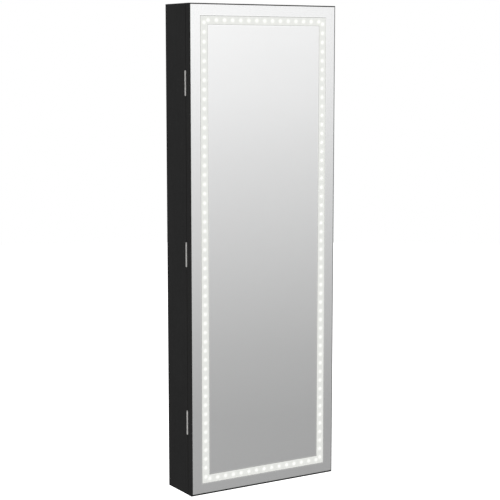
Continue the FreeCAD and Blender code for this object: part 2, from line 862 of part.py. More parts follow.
def catch_strike(z):
    x = catch_x()
    half = STRIKE_H / 2
    side = STRIKE_W / 2
    plate = rounded(x - side, x + side, Y_DOOR, Y_DOOR + STRIKE_T, z - half, z + half, STRIKE_CORNER)
    return less(plate, [screw_hole(p, FRONT, SHORT_SCREW_L) for p in catch_strike_points()])


def door_bumpers():
    x = IN_X1 + BOARD_T / 2
    points = [V(x, Y_CASE, share * HEIGHT) for share in BUMPER_SHARES]
    height = DOOR_GAP - BUMPER_AIR
    return group([Part.makeCone(BUMPER_R, BUMPER_TIP_R, height, p, FRONT) for p in points])


# Cam lock
def lock_barrel():
    axis = V(BARREL_END, LOCK_Y, LOCK_Z)
    body = rod(axis, RIGHT, LOCK_R, X1 - BARREL_END)
    flange = rod(V(X1, LOCK_Y, LOCK_Z), RIGHT, LOCK_FLANGE_R, LOCK_FLANGE_T)
    bore = rod(axis, RIGHT, PLUG_R + RUN_FIT, X1 + LOCK_FLANGE_T - BARREL_END)
    face = X1 + LOCK_FLANGE_T - SEAT_FIT
    case = ease(join([body, flange]), EASE, lambda b: b.XMin > face)
    return less(case, [bore])


def lock_nut():
    start = V(IN_X1 - NUT_T, LOCK_Y, LOCK_Z)
    tip = V(0, 0, NUT_FLATS / 3 ** 0.5)
    points = [start + FreeCAD.Rotation(RIGHT, 60 * i).multVec(tip) for i in range(6)]
    prism = Part.Face(Part.makePolygon(points + points[:1])).extrude(V(NUT_T, 0, 0))
    return less(prism, [rod(start, RIGHT, LOCK_R + RUN_FIT, NUT_T)])


def plug_tang(fit):
    half = PLUG_TANG / 2 + fit
    return box(CAM_X0, BARREL_END, LOCK_Y - half, LOCK_Y + half, LOCK_Z - half, LOCK_Z + half)


def lock_plug():
    end = X1 + LOCK_FLANGE_T - PLUG_SINK
    barrel = rod(V(BARREL_END, LOCK_Y, LOCK_Z), RIGHT, PLUG_R, end - BARREL_END)
    y0 = LOCK_Y - KEY_W / 2
    z0 = LOCK_Z - KEY_H / 2
    keyway = box(end - KEY_D, end, y0, y0 + KEY_W, z0, z0 + KEY_H)
    thread = rod(V(CAM_X0, LOCK_Y, LOCK_Z), RIGHT, CAM_SCREW_R + SEAT_FIT, cam_screw_length() + SEAT_FIT)
    return less(join([barrel, plug_tang(0)]), [keyway, thread])


def lock_cam():
    half = CAM_W / 2
    tip = LOCK_Y - CAM_L + half
    arm = box(CAM_X0, CAM_X1, tip, LOCK_Y, LOCK_Z - half, LOCK_Z + half)
    ends = [rod(V(CAM_X0, y, LOCK_Z), RIGHT, half, CAM_T) for y in (tip, LOCK_Y)]
    return less(join([arm] + ends), [plug_tang(RUN_FIT)])


def cam_screw_length():
    return CAM_T + CAM_AIR + LOCK_TAIL


def cam_screw():
    seat = V(CAM_X0, LOCK_Y, LOCK_Z)
    top = seat - V(CAM_HEAD_T, 0, 0)
    head = rod(top, RIGHT, CAM_HEAD_R, CAM_HEAD_T)
    head = ease(head, EASE, lambda b: b.XMax < top.x + SEAT_FIT)
    body = join([head, rod(seat, RIGHT, CAM_SCREW_R, cam_screw_length())])
    return less(body, cross_recess(top, RIGHT))


def keeper_points():
    foot_x = CAM_X0 - KEEPER_AIR - KEEPER_T - KEEPER_FOOT / 2
    top = LOCK_Z - CAM_L + KEEPER_H / 2
    rise = KEEPER_FOOT_H / 4
    return [V(foot_x, Y_DOOR + KEEPER_T, top + s * rise) for s in (-1, 1)]


def lock_keeper():
    """A bent plate on the door: its lip lies behind the cam when the cam is turned down."""
    x1 = CAM_X0 - KEEPER_AIR
    x0 = x1 - KEEPER_T
    y1 = LOCK_Y + CAM_W / 2 + KEEPER_BEHIND
    z0 = LOCK_Z - CAM_L
    z1 = z0 + KEEPER_H
    middle = (z0 + z1) / 2
    foot_z0 = middle - KEEPER_FOOT_H / 2
    foot_z1 = foot_z0 + KEEPER_FOOT_H
    foot = rounded(x0 - KEEPER_FOOT, x1, Y_DOOR, Y_DOOR + KEEPER_T, foot_z0, foot_z1, KEEPER_CORNER)
    arm = box(x0, x1, Y_DOOR, y1 + KEEPER_T, z0, z1)
    lip = box(x0, IN_X1 - KEEPER_SIDE_AIR, y1, y1 + KEEPER_T, z0, z1)
    return less(join([foot, arm, lip]), [screw_hole(p, FRONT, SHORT_SCREW_L) for p in keeper_points()])


def fitting_points():
    return catch_strike_points() + keeper_points()


def door_screws():
    shorts = [screw(p, FRONT, SHORT_SCREW_L) for p in fitting_points() + flange_points()]
    return group(hinge_screws(True) + shorts)


# All the pieces, by name
PIECES = {
    "case_side_left": case_side_left(),
    "case_side_right": case_side_right(),
    "case_top": end_board(IN_Z1),
    "case_bottom": end_board(Z0),
    "case_back": case_back(),
    "case_dowels": group(dowels()),
    "back_screws": group([screw(p, FRONT, SCREW_L) for p in back_screw_points()]),
    "hanging_rail_top": hanging_rail(RAIL_LOW),
    "hanging_rail_bottom": hanging_rail(IN_Z0),
    "lining_board": lining_board(),
    "bay_divider": bay_divider(),
    "shelf_lower": shelf(SHELF_TOPS[0]),
    "shelf_middle": shelf(SHELF_TOPS[1]),
    "shelf_upper": shelf(SHELF_TOPS[2]),
    "shelf_guard_rods": group(guard_rods()),
    "necklace_rail": necklace_rail(),
    "necklace_hooks": necklace_hooks(),
    "ring_board": ring_board(),
    "ring_rolls": ring_rolls(),
    "earring_bars": group([earring_bar(z) for z in EAR_Z]),
    "earring_posts": earring_posts(),
    "bracelet_rod": bracelet_rod(),
    "bracelet_sockets": bracelet_sockets(),
    "catch_housings": group([catch_housing(z) for z in CATCH_Z]),
    "catch_magnets": group([catch_magnet(z) for z in CATCH_Z]),
    "door_bumpers": door_bumpers(),
    "lock_barrel": lock_barrel(),
    "lock_nut": lock_nut(),
    "case_hinge_screws": group(hinge_screws(False)),
    "hinge_pins": group([hinge_pin(z) for z in HINGE_Z.values()]),
    "door_stile_hinge": door_stile_hinge(),
    "door_stile_lock": door_stile_lock(),
    "door_rail_top": frame_bar((1, 1, False), []),
    "door_rail_bottom": door_rail_bottom(),
    "door_corner_splines": group(spline_plates(0)),
    "door_inner_panel": door_inner_panel(),
    "mirror_glass": mirror_glass(),
    "mirror_silvering": mirror_silvering(),
    "frosted_band": frosted_band(),
    "led_tape": led_tape(),
    "led_chips": led_chips(),
    "led_leads": led_leads(),
    "battery_box": battery_box(),
    "battery_cells": battery_cells(),
    "battery_contacts": battery_contacts(),
    "switch_body": switch_body(),
    "catch_strikes": group([catch_strike(z) for z in CATCH_Z]),
    "lock_keeper": lock_keeper(),
    "door_screws": door_screws(),
    "battery_cover": battery_cover(),
    "switch_button": switch_button(),
    "lock_plug": lock_plug(),
    "lock_cam": lock_cam(),
    "cam_screw": cam_screw(),
}
for place, level in HINGE_Z.items():
    PIECES["hinge_case_leaf_" + place] = hinge_leaf(level, False)
    PIECES["hinge_door_leaf_" + place] = hinge_leaf(level, True)

for name, shape in PIECES.items():
    shape.exportStep("parts/" + name + ".step")
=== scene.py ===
import math

import bmesh
import bpy
from bpy.props import FloatProperty, FloatVectorProperty, IntProperty, PointerProperty
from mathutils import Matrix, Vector, noise


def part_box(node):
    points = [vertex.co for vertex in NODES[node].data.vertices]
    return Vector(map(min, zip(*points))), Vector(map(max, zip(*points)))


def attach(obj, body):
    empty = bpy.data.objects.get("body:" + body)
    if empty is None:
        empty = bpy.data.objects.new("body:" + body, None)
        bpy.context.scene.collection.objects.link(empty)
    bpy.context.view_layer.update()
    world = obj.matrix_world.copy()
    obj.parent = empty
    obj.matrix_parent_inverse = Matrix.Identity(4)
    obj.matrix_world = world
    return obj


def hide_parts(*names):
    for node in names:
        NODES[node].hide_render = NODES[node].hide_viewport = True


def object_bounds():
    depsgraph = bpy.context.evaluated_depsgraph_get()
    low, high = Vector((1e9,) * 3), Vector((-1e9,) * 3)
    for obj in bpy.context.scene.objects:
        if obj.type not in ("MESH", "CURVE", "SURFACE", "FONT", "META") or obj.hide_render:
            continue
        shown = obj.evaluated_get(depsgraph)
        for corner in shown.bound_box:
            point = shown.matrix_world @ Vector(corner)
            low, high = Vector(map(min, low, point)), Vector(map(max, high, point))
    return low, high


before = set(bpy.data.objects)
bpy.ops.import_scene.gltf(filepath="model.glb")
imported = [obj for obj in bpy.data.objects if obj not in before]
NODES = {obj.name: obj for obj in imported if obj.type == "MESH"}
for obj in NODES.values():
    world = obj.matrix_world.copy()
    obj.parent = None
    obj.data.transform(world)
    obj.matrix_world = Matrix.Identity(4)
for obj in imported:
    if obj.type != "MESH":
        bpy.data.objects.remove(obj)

bl_info = {
    "name": "Lighted mirror jewelry cabinet",
    "version": (1, 0, 0),
    "blender": (4, 5, 0),
    "location": "View3D > Sidebar > Cabinet",
    "description": "Finishes, padded ring rolls, lamps and camera for the cabinet's packed frame",
    "category": "Object",
}

CAD_BOX = [list(corner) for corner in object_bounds()]
ROLLS_LOW, ROLLS_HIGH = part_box("ring_rolls")
CHIPS_LOW, CHIPS_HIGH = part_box("led_chips")
BAND_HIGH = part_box("frosted_band")[1]
SILVER_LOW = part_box("mirror_silvering")[0]

# Solder pads on the light tape, in metres from the middle of a chip
PAD_RING, PAD_HALF = 0.0042, 0.0008

# Ring rolls before they are stuffed: sections along a roll, its rounded ends and the waves in the velvet
STATIONS, NOSE_STEPS, FLAT_STEPS, BACK_STEPS = 30, 12, 3, 5
END_LENGTH, END_SIZE, END_DEPTH = 0.8, 0.55, 0.8
WAVE, WAVES_ALONG, WAVES_ROUND, WAVE_APART = 0.0003, 55, 90, 7.3

# The cloth run that stuffs a roll, and the gathers at its ends
RUN_SIZE, RUN_STEPS, GLUE_DEPTH = 10.0, 20, 0.0016
GATHERS, GATHER_REACH, GATHER_FREE, GATHER_MIDDLE = 13, 0.0045, 0.004, 0.45

# The room that the mirror shows: its tones by height, then how bright it is to the right, to the left and
# behind, each as the brightness at two places and where those lie
ROOM_HEIGHT = (-0.351, 0.093)
ROOM_TONES = ((0.0, 0.37), (0.110, 0.385), (0.235, 0.412), (0.334, 0.475), (0.430, 0.560), (0.530, 0.655),
              (0.632, 0.757), (0.735, 0.870), (0.839, 0.950), (1.0, 1.0))
ROOM_RIGHT = (1.03, 0.88, 0.439, 0.626)
ROOM_LEFT = (0.86, 1.0, 0.02, 0.36)
ROOM_BEHIND = (1.0, 0.30, -0.15, 0.35)

# Each lamp's place, aim and size, and the floor's radius
LAMPS = {"key": ((-3.4, -1.2, -0.3), (0, 0, -0.3), 1.6), "fill": ((2.6, -1.6, 1.2), (0, 0, 0), 1.8),
         "top": ((0.0, 0.6, 2.6), (0, 0, 0), 1.6)}
FLOOR_RADIUS = 9.0


# Kinds of setting
def colour(label, text, value):
    return FloatVectorProperty(name=label, description=text, subtype="COLOR", size=3, min=0, max=1,
                               default=value)


def number(label, text, value, **kind):
    return FloatProperty(name=label, description=text, default=value, **kind)


def length(label, text, value):
    return number(label, text, value, subtype="DISTANCE", unit="LENGTH", precision=5)


def share(label, text, value):
    return number(label, text, value, subtype="FACTOR", min=0, max=1)


def angle(label, text, degrees):
    return number(label, text, math.radians(degrees), subtype="ANGLE", unit="ROTATION")


def power(label, text, value):
    return number(label, text, value, subtype="POWER", unit="POWER", min=0)


class CabinetFinishes(bpy.types.PropertyGroup):
    """Colours of the boards, linings, metals and plastics."""
    laminate: colour("Laminate", "Satin black facing of the boards", (0.0170, 0.0170, 0.0170))
    laminate_light: colour("Laminate, worn", "Paler clouds in the black facing", (0.0187, 0.0187, 0.0187))
    hardboard: colour("Hardboard", "Lacquered back board", (0.026, 0.022, 0.019))
    beech: colour("Beech", "Dowels and corner splines", (0.56, 0.36, 0.19))
    velvet: colour("Velvet", "Ring rolls", (0.058, 0.058, 0.064))
    flock: colour("Flock", "Lining card behind the jewelry", (0.074, 0.074, 0.080))
    nickel: colour("Nickel", "Hinges, hooks and rods", (0.66, 0.65, 0.63))
    zinc: colour("Zinc", "Screws, strikes and keeper", (0.56, 0.57, 0.59))
    plastic: colour("Moulded plastic", "Battery box, catches and sockets", (0.017, 0.017, 0.018))
    acrylic: colour("Acrylic", "Earring bars", (0.010, 0.010, 0.011))
    ferrite: colour("Magnet", "Ground magnet faces", (0.075, 0.075, 0.080))
    rubber: colour("Rubber", "Milky door bumpers", (0.50, 0.50, 0.47))
    cell: colour("Cell wrap", "Sleeves of the four cells", (0.30, 0.33, 0.36))
    button: colour("Button", "Push button of the switch", (0.34, 0.34, 0.35))


class CabinetMirror(bpy.types.PropertyGroup):
    """The pane, its silvering and the lit band."""
    tint: colour("Glass", "Tint of light that goes through the pane", (0.992, 0.993, 0.993))
    edge: colour("Glass edge", "Polished edge of the pane", (0.62, 0.67, 0.64))
    sealer: colour("Edge sealer", "Dark sealer along the pane's sides", (0.015, 0.015, 0.015))
    silver: colour("Silvering", "Reflecting layer", (0.985, 0.985, 0.985))
    band: colour("Band", "Frosted band between the light spots", (0.622, 0.631, 0.598))
    spot: colour("Light spot", "Added at the middle of a light spot", (0.350, 0.345, 0.340))
    frost: share("Frost", "How pale the band is without its light", 0.24)
    spread: length("Spot spread", "Radius at which a spot has fallen to six tenths", 0.0026)
    # Width of the painted shade line along the band's left and upper edges
    painted_shade_width: length("Edge line", "Shade along the band's left and upper edges", 0.0003)
    foot_line: length("Lower edge line", "Sealer along the lower edge of the silvering", 0.0018)
    side_seal: share("Side sealer", "How much of the pane's upright sides is sealed", 0.65)
    # Painted glow on the silvering beside the lit band: how far it reaches and how strong it is
    halo: length("Halo", "How far the band's light spreads into the silvering", 0.0006)
    painted_halo_light: share("Halo light", "How much of the band's light spreads so", 1.0)
    # Painted light on the pane's edge, in place of the band's light leaving there
    leak: share("Edge light", "Light of the band that leaves by the pane's edge", 0.20)
    ground: share("Ground edge", "How much of the pane's edge is ground and not clear", 0.20)
    pitch: length("Light pitch", "From one light chip to the next", 0.020)
    chip: length("Light chip", "Side of a light chip", 0.005)


class CabinetRolls(bpy.types.PropertyGroup):
    """The padded rolls that rings are pushed between."""
    count: IntProperty(name="Rolls", description="Number of rolls on the board", min=1, default=8)
    gap: length("Gap", "Slit between two rolls", 0.0011)
    slack: length("Slack", "How much smaller a roll is before it is stuffed", 0.0009)
    swell: length("Swell", "Furthest that stuffing moves the velvet", 0.0011)
    voxel: length("Cell", "Size of the velvet's mesh", 0.0031)
    pressure: number("Stuffing", "Pressure of the stuffing", 4.0, min=0)
    pleat: length("Pleat", "Depth of the gathers at the ends", 0.00035)


class CabinetStage(bpy.types.PropertyGroup):
    """Camera, lamps and floor."""
    eye: FloatVectorProperty(name="Camera place", description="Where the camera stands", size=3,
                             subtype="TRANSLATION", unit="LENGTH", default=(-1.6375, -2.71896, 0.41238))
    yaw: angle("Camera turn", "Turn to the right of straight ahead", 31.4776)
    tilt: angle("Camera tilt", "Tilt below level", 7.6334)
    lens: number("Lens", "Focal length in millimetres", 102.211, unit="CAMERA", min=1)
    floor_drop: length("Floor", "How far the floor is below the hung cabinet", 0.62)
    ambient: number("Ambient", "Even light from all round", 0.50, min=0)
    room: number("Room", "Brightness of the room in the mirror", 1.022, min=0)
    key: power("Key lamp", "Lamp at the front left", 47.0)
    fill: power("Fill lamp", "Lamp at the front right", 34.0)
    top: power("Top lamp", "Lamp overhead", 26.0)


# Node helpers
def new_finish(name):
    material = bpy.data.materials.new(name)
    material.use_nodes = True
    material.node_tree.nodes.clear()
    return material, material.node_tree


def put(tree, kind, inputs=None, **settings):
    made = tree.nodes.new("ShaderNode" + kind)
    for key, value in settings.items():
        setattr(made, key, value)
    for socket, value in (inputs or {}).items():
        if isinstance(value, bpy.types.NodeSocket):
            tree.links.new(value, made.inputs[socket])
        else:
            made.inputs[socket].default_value = value
    return made


def local(tree, stretch=(1, 1, 1)):
    """Places on the piece itself, so that the grain moves with it."""
    place = put(tree, "TexCoord").outputs["Object"]
    if stretch == (1, 1, 1):
        return place
    return put(tree, "Mapping", {"Vector": place, "Scale": stretch}).outputs["Vector"]


def grain(tree, place, scale, detail=2.0, rough=0.5):
    inputs = {"Vector": place, "Scale": scale, "Detail": detail, "Roughness": rough}
    return put(tree, "TexNoise", inputs).outputs["Fac"]


def ramp(tree, value, *stops):
    made = put(tree, "ValToRGB", {"Fac": value})
    points = made.color_ramp.elements
    while len(points) < len(stops):
        points.new(1.0)
    for point, (place, tone) in zip(points, stops):
        point.position = place
        point.color = (*tone, 1)
    return made.outputs["Color"]


def between(tree, value, low, high, start=0.3, end=0.7):
    inputs = {"Value": value, "From Min": start, "From Max": end, "To Min": low, "To Max": high}
    return put(tree, "MapRange", inputs).outputs["Result"]


def sums(tree, way, first, second=0.0, third=0.0):
    return put(tree, "Math", {0: first, 1: second, 2: third}, operation=way).outputs["Value"]


def raised(tree, height, depth, strength):
    return put(tree, "Bump", {"Height": height, "Distance": depth, "Strength": strength}).outputs["Normal"]


def surface(tree, shader):
    put(tree, "OutputMaterial", {"Surface": shader})


def coated(tree, **sockets):
    """A principled surface, with socket names written with underscores."""
    named = {key.replace("_", " "): (*value, 1) if isinstance(value, tuple) else value
             for key, value in sockets.items()}
    surface(tree, put(tree, "BsdfPrincipled", named).outputs["BSDF"])


def shade(value, factor):
    return tuple(min(1.0, c * factor) for c in value)


def dress(names, material):
    for name in names.split():
        if name not in NODES:
            raise RuntimeError("the frame has no piece named " + name)
        slots = NODES[name].data.materials
        if len(slots):
            for i in range(len(slots)):
                slots[i] = material
        else:
            slots.append(material)


# Finishes
def laminate_finish(c):
    material, tree = new_finish("black_laminate")
    place = local(tree)
    clouds = grain(tree, place, 14.0, 4.0)
    rubbed = grain(tree, local(tree, (1, 1, 0.12)), 160.0, 3.0)
    pores = grain(tree, place, 1500.0, 1.0)
    coated(tree, Base_Color=ramp(tree, clouds, (0.35, tuple(c.laminate)), (0.72, tuple(c.laminate_light))),
           Roughness=between(tree, rubbed, 0.50, 0.56), Specular_IOR_Level=0.14,
           Normal=raised(tree, pores, 0.00004, 0.2))
    return material


def hardboard_finish(c):
    material, tree = new_finish("lacquered_hardboard")
    fibres = grain(tree, local(tree, (1, 1, 0.45)), 420.0, 5.0, 0.65)
    clouds = grain(tree, local(tree), 22.0, 3.0)
    mixed = sums(tree, "MULTIPLY_ADD", fibres, 0.6, sums(tree, "MULTIPLY", clouds, 0.4))
    base = tuple(c.hardboard)
    tones = ramp(tree, mixed, (0.36, shade(base, 0.7)), (0.52, base), (0.68, shade(base, 1.7)))
    coated(tree, Base_Color=tones, Roughness=between(tree, fibres, 0.42, 0.66), Specular_IOR_Level=0.3,
           Normal=raised(tree, fibres, 0.00012, 0.5))
    return material


def beech_finish(c):
    material, tree = new_finish("plain_beech")
    rings = put(tree, "TexWave", {"Vector": local(tree), "Scale": 190.0, "Distortion": 3.0, "Detail": 3.0},
                bands_direction="Y")
    flecks = grain(tree, local(tree, (0.2, 1, 1)), 900.0, 2.0)
    mixed = sums(tree, "MULTIPLY_ADD", flecks, 0.5, sums(tree, "MULTIPLY", rings.outputs["Fac"], 0.5))
    base = tuple(c.beech)
    coated(tree, Base_Color=ramp(tree, mixed, (0.2, shade(base, 0.72)), (0.8, shade(base, 1.12))),
           Roughness=between(tree, flecks, 0.5, 0.7), Normal=raised(tree, flecks, 0.0001, 0.4))
    return material


def pile_finish(name, base, pile, depth, sheen):
    material, tree = new_finish(name)
    place = local(tree)
    nap = grain(tree, place, pile, 2.0, 0.6)
    brushed = grain(tree, local(tree, (1, 1, 0.6)), 34.0, 3.0)
    mixed = sums(tree, "MULTIPLY_ADD", nap, 0.45, sums(tree, "MULTIPLY", brushed, 0.55))
    tones = ramp(tree, mixed, (0.34, shade(base, 0.55)), (0.5, base), (0.68, shade(base, 1.75)))
    coated(tree, Base_Color=tones, Roughness=between(tree, nap, 0.82, 0.98), Specular_IOR_Level=0.15,
           Sheen_Weight=sheen, Sheen_Roughness=0.38, Sheen_Tint=(0.62, 0.62, 0.68),
           Normal=raised(tree, nap, depth, 0.7))
    return material


def metal_finish(name, base, dull, bright, run, metal=1.0):
    """Plated metal, rubbed along the stretched direction."""
    material, tree = new_finish(name)
    lines = grain(tree, local(tree, run), 900.0, 3.0, 0.6)
    clouds = grain(tree, local(tree), 60.0, 3.0)
    worn = sums(tree, "MULTIPLY_ADD", clouds, 0.5, sums(tree, "MULTIPLY", lines, 0.5))
    coated(tree, Metallic=metal,
           Base_Color=ramp(tree, clouds, (0.3, shade(base, 0.88)), (0.7, shade(base, 1.06))),
           Roughness=between(tree, worn, bright, dull, 0.35, 0.65), Normal=raised(tree, lines, 0.00003, 0.35))
    return material


def moulded_finish(name, base, smooth, cells=1300.0, depth=0.00008):
    material, tree = new_finish(name)
    place = local(tree)
    spark = put(tree, "TexVoronoi", {"Vector": place, "Scale": cells}).outputs["Distance"]
    clouds = grain(tree, place, 45.0, 3.0)
    coated(tree, Base_Color=ramp(tree, clouds, (0.3, shade(base, 0.85)), (0.7, shade(base, 1.2))),
           Roughness=between(tree, clouds, smooth, smooth + 0.14), Specular_IOR_Level=0.4,
           Normal=raised(tree, spark, depth, 0.4))
    return material


def acrylic_finish(c):
    material, tree = new_finish("polished_acrylic")
    hair = grain(tree, local(tree, (0.06, 1, 1)), 1300.0, 2.0)
    dust = grain(tree, local(tree), 30.0, 4.0)
    coated(tree, Base_Color=ramp(tree, dust, (0.4, tuple(c.acrylic)), (0.75, shade(tuple(c.acrylic), 1.6))),
           Roughness=between(tree, hair, 0.05, 0.16, 0.45, 0.75), Coat_Weight=0.6, Coat_Roughness=0.04,
           Normal=raised(tree, hair, 0.00001, 0.2))
    return material


def glass_finish(m):
    """Thin clear pane: what is behind shows straight through, and its faces mirror a little from outside.
    Its narrow sides are partly ground, glow with painted light in place of the band's light, and show their
    dark sealer from inside."""
    material, tree = new_finish("clear_glass")
    facing = put(tree, "SeparateXYZ", {"Vector": put(tree, "TexCoord").outputs["Normal"]})
    side = sums(tree, "LESS_THAN", sums(tree, "ABSOLUTE", facing.outputs["Y"]), 0.5)
    upright = sums(tree, "GREATER_THAN", sums(tree, "ABSOLUTE", facing.outputs["X"]), 0.5)
    clear = put(tree, "BsdfTransparent", {"Color": (*m.tint, 1)}).outputs["BSDF"]
    gloss = put(tree, "BsdfGlossy", {"Color": (1, 1, 1, 1), "Roughness": 0.0}).outputs["BSDF"]
    inside = put(tree, "NewGeometry").outputs["Backfacing"]
    skin = sums(tree, "MULTIPLY", put(tree, "Fresnel", {"IOR": 1.5}).outputs["Fac"],
                sums(tree, "SUBTRACT", 1.0, inside))
    pane = put(tree, "MixShader", {0: skin, 1: clear, 2: gloss}).outputs["Shader"]
    speck = grain(tree, local(tree), 700.0, 2.0)
    # The pane's edge shines with painted light, in place of the band's light leaving by the edge
    edge = put(tree, "BsdfPrincipled", {"Base Color": (*m.edge, 1), "Roughness": 0.22, "IOR": 1.5,
                                        "Emission Color": (1, 1, 1, 1), "Emission Strength": m.leak,
                                        "Normal": raised(tree, speck, 0.00004, 0.3)}).outputs["BSDF"]
    sealer = put(tree, "BsdfDiffuse", {"Color": (*m.sealer, 1)}).outputs["BSDF"]
    rough = put(tree, "MixShader", {0: m.ground, 1: pane, 2: edge}).outputs["Shader"]
    sealed = sums(tree, "MULTIPLY", inside, between(tree, upright, 1.0, m.side_seal, 0.0, 1.0))
    narrow = put(tree, "MixShader", {0: sealed, 1: rough, 2: sealer}).outputs["Shader"]
    surface(tree, put(tree, "MixShader", {0: side, 1: pane, 2: narrow}).outputs["Shader"])
    material.cycles.emission_sampling = "NONE"
    return material


def chip_lines(m):
    """How far the middles of the chips' rows are from the middle of the door, sideways and upward."""
    return ((CHIPS_HIGH.x - CHIPS_LOW.x - m.chip) / 2, (CHIPS_HIGH.z - CHIPS_LOW.z - m.chip) / 2)


def from_band(tree, place, m):
    """How far a place on the door is from the middle line of the band."""
    parts = put(tree, "SeparateXYZ", {"Vector": place})
    past = [sums(tree, "SUBTRACT", sums(tree, "ABSOLUTE", parts.outputs[axis]), reach)
            for axis, reach in zip("XZ", chip_lines(m))]
    return sums(tree, "ABSOLUTE", sums(tree, "MAXIMUM", *past))


def silver_finish(m):
    """Mirror layer with a dark sealed line along its lower edge, and a painted glow in the band's colour
    beside the lit band.
    """
    material, tree = new_finish("bright_silvering")
    place = local(tree)
    haze = grain(tree, place, 6.0, 2.0)
    bright = ramp(tree, haze, (0.2, shade(tuple(m.silver), 0.992)), (0.8, tuple(m.silver)))
    level = put(tree, "SeparateXYZ", {"Vector": place}).outputs["Z"]
    foot = sums(tree, "LESS_THAN", level, SILVER_LOW.z + m.foot_line)
    both = put(tree, "Mix", {"Factor": foot, 6: bright, 7: (*m.sealer, 1)}, data_type="RGBA")
    # Painted glow: the silvering shines in the band's colour, fading away from the band's edge, in place of
    # the band's light spreading into the glass
    from_edge = sums(tree, "SUBTRACT", from_band(tree, place, m), BAND_HIGH.x - chip_lines(m)[0])
    halo = sums(tree, "EXPONENT", sums(tree, "MULTIPLY", from_edge, -1 / m.halo))
    coated(tree, Base_Color=both.outputs[2], Metallic=1.0, Roughness=0.0, Emission_Color=tuple(m.band),
           Emission_Strength=sums(tree, "MULTIPLY", halo, m.painted_halo_light))
    material.cycles.emission_sampling = "NONE"
    return material


def spot_glow(tree, place, m):
    """Soft round glows over the chips: two upright rows and two level rows, at the chips' own pitch.
    An upright row starts a quarter of a pitch in from the corner, a level row half a pitch."""
    half, tall = chip_lines(m)
    parts = put(tree, "SeparateXYZ", {"Vector": place})
    x, z = parts.outputs["X"], parts.outputs["Z"]
    nearest = None
    for along, across, line, first in ((z, x, half, tall - m.pitch / 4), (x, z, tall, half - m.pitch / 2)):
        last = round(2 * first / m.pitch)
        step = sums(tree, "ROUND", sums(tree, "MULTIPLY_ADD", along, 1 / m.pitch, first / m.pitch))
        step = sums(tree, "MINIMUM", sums(tree, "MAXIMUM", step, 0.0), float(last))
        off = sums(tree, "SUBTRACT", along, sums(tree, "MULTIPLY_ADD", step, m.pitch, -first))
        aside = sums(tree, "SUBTRACT", sums(tree, "ABSOLUTE", across), line)
        far = sums(tree, "MULTIPLY_ADD", off, off, sums(tree, "MULTIPLY", aside, aside))
        nearest = far if nearest is None else sums(tree, "MINIMUM", nearest, far)
    return sums(tree, "EXPONENT", sums(tree, "MULTIPLY", nearest, -0.5 / m.spread ** 2))


def painted_shade_line(tree, place, m):
    """1 on a thin line of painted shade along the left and the upper edge of each of the band's strips."""
    half, tall = chip_lines(m)
    wide, high = BAND_HIGH.x, BAND_HIGH.z
    inner_x, inner_z = 2 * half - wide, 2 * tall - high
    parts = put(tree, "SeparateXYZ", {"Vector": place})
    x, z = parts.outputs["X"], parts.outputs["Z"]
    between_rails = sums(tree, "LESS_THAN", sums(tree, "ABSOLUTE", z), inner_z)
    between_stiles = sums(tree, "LESS_THAN", sums(tree, "ABSOLUTE", x), inner_x)
    thin = m.painted_shade_width / 2
    inner_left = sums(tree, "COMPARE", x, inner_x + thin, thin)
    inner_top = sums(tree, "COMPARE", z, -inner_z - thin, thin)
    outer = sums(tree, "MAXIMUM", sums(tree, "LESS_THAN", x, m.painted_shade_width - wide),
                 sums(tree, "GREATER_THAN", z, high - m.painted_shade_width))
    inner = sums(tree, "MAXIMUM", sums(tree, "MULTIPLY", inner_left, between_rails),
                 sums(tree, "MULTIPLY", inner_top, between_stiles))
    return sums(tree, "MAXIMUM", outer, inner)


def band_finish(m):
    material, tree = new_finish("frosted_band")
    place = local(tree)
    glow = spot_glow(tree, place, m)
    # Painted shade: the band's light drops to a tenth on thin lines along its strips' left and upper edges
    light = between(tree, painted_shade_line(tree, place, m), 1.0, 0.1, 0.0, 1.0)
    frost = grain(tree, place, 1600.0, 2.0)
    bright = tuple(a + b for a, b in zip(m.band, m.spot))
    lit = ramp(tree, glow, (0.0, tuple(m.band)), (1.0, bright))
    pale = (m.frost, m.frost, m.frost)
    coated(tree, Base_Color=ramp(tree, frost, (0.3, shade(pale, 0.94)), (0.7, shade(pale, 1.06))),
           Roughness=between(tree, frost, 0.55, 0.75), Emission_Color=lit, Emission_Strength=light,
           Normal=raised(tree, frost, 0.00004, 0.3))
    material.cycles.emission_sampling = "NONE"
    return material


def tape_finish(m):
    """White circuit tape with a copper pad round each chip."""
    material, tree = new_finish("circuit_tape")
    place = local(tree)
    glow = sums(tree, "LOGARITHM", sums(tree, "MAXIMUM", spot_glow(tree, place, m), 0.0001), math.e)
    ring = sums(tree, "SQRT", sums(tree, "MULTIPLY", glow, -2 * m.spread ** 2))
    pad = sums(tree, "COMPARE", ring, PAD_RING, PAD_HALF)
    speck = grain(tree, place, 500.0, 2.0)
    white = ramp(tree, speck, (0.3, (0.76, 0.76, 0.72)), (0.7, (0.86, 0.86, 0.82)))
    both = put(tree, "Mix", {"Factor": pad, 6: white, 7: (0.62, 0.46, 0.26, 1)}, data_type="RGBA")
    coated(tree, Base_Color=both.outputs[2], Roughness=between(tree, speck, 0.32, 0.48),
           Normal=raised(tree, speck, 0.00003, 0.3))
    return material


def chip_finish(m):
    """White package with a warm round window."""
    material, tree = new_finish("light_chip")
    glow = spot_glow(tree, local(tree), m)
    warm = ramp(tree, glow, (0.74, (0.85, 0.85, 0.82)), (0.82, (0.90, 0.74, 0.30)))
    light = ramp(tree, glow, (0.70, (0.10, 0.10, 0.10)), (0.90, (1.0, 0.96, 0.86)))
    coated(tree, Base_Color=warm, Roughness=between(tree, glow, 0.5, 0.22, 0.6, 1.0), Emission_Color=light,
           Emission_Strength=1.0)
    material.cycles.emission_sampling = "NONE"
    return material


